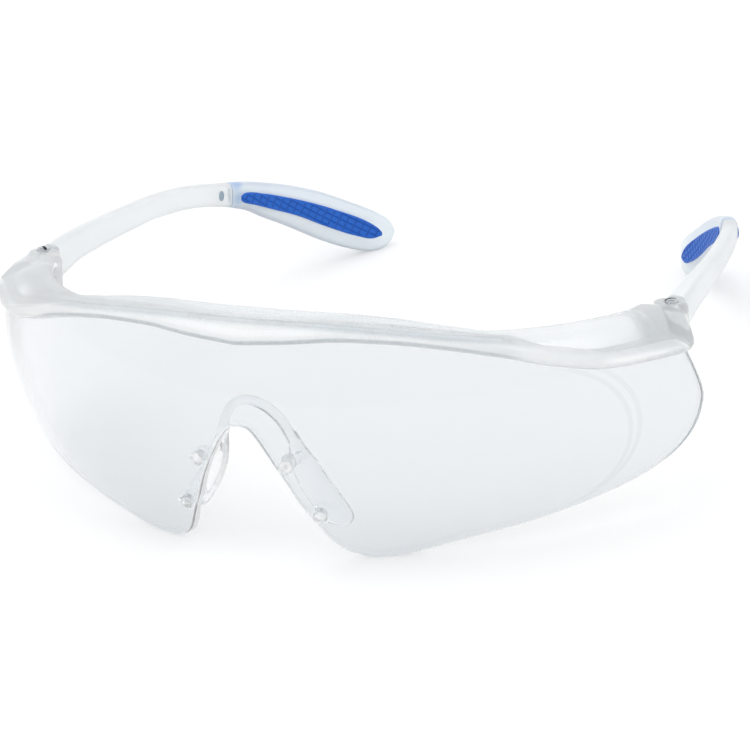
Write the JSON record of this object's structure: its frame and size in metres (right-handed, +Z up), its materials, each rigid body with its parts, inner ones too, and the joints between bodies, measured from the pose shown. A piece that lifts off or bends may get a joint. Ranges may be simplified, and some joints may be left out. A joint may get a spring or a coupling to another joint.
{
  "type": "safety glasses",
  "caption": "Clear wraparound safety glasses with a one-piece lens, a brow bar, a soft nose bridge and folding temples that have rubber grip inlays.",
  "frame": {"origin": "centre of the footprint of the open glasses, on the surface they stand on", "axes": "+Z up, the lens faces -Y, the temples run back towards +Y, and +X is the wearer's left; the hinge axes lean back by about ten degrees because the glasses stand on the lens corners and the temple tips"},
  "size_m": [0.1496, 0.156, 0.0488],
  "materials": {
    "lens_polycarbonate": "polished",
    "bar_polycarbonate": "satin",
    "nose_elastomer": "satin",
    "temple_frosted": "frosted",
    "grip_rubber": "fine diamond texture",
    "screw_steel": "bright"
  },
  "bodies": {
    "front": {"lens": "lens_polycarbonate", "brow_bar": "bar_polycarbonate", "nose_bridge": "nose_elastomer", "hinge_screw_left": "screw_steel", "hinge_screw_right": "screw_steel"},
    "left_temple": {"temple_left": "temple_frosted", "tip_sleeve_left": "temple_frosted", "grip_left": "grip_rubber", "lock_pin_left": "grip_rubber"},
    "right_temple": {"temple_right": "temple_frosted", "tip_sleeve_right": "temple_frosted", "grip_right": "grip_rubber", "lock_pin_right": "grip_rubber"}
  },
  "joints": [
    {"name": "left_hinge", "type": "hinge", "parent": "front", "child": "left_temple", "pos_m": [0.06707, -0.02492, 0.03378], "axis": [0, 0.1665, 0.986], "range_deg": [0, 90]},
    {"name": "right_hinge", "type": "hinge", "parent": "front", "child": "right_temple", "pos_m": [-0.06707, -0.02492, 0.03378], "axis": [0, -0.1665, -0.986], "range_deg": [0, 78]}
  ]
}
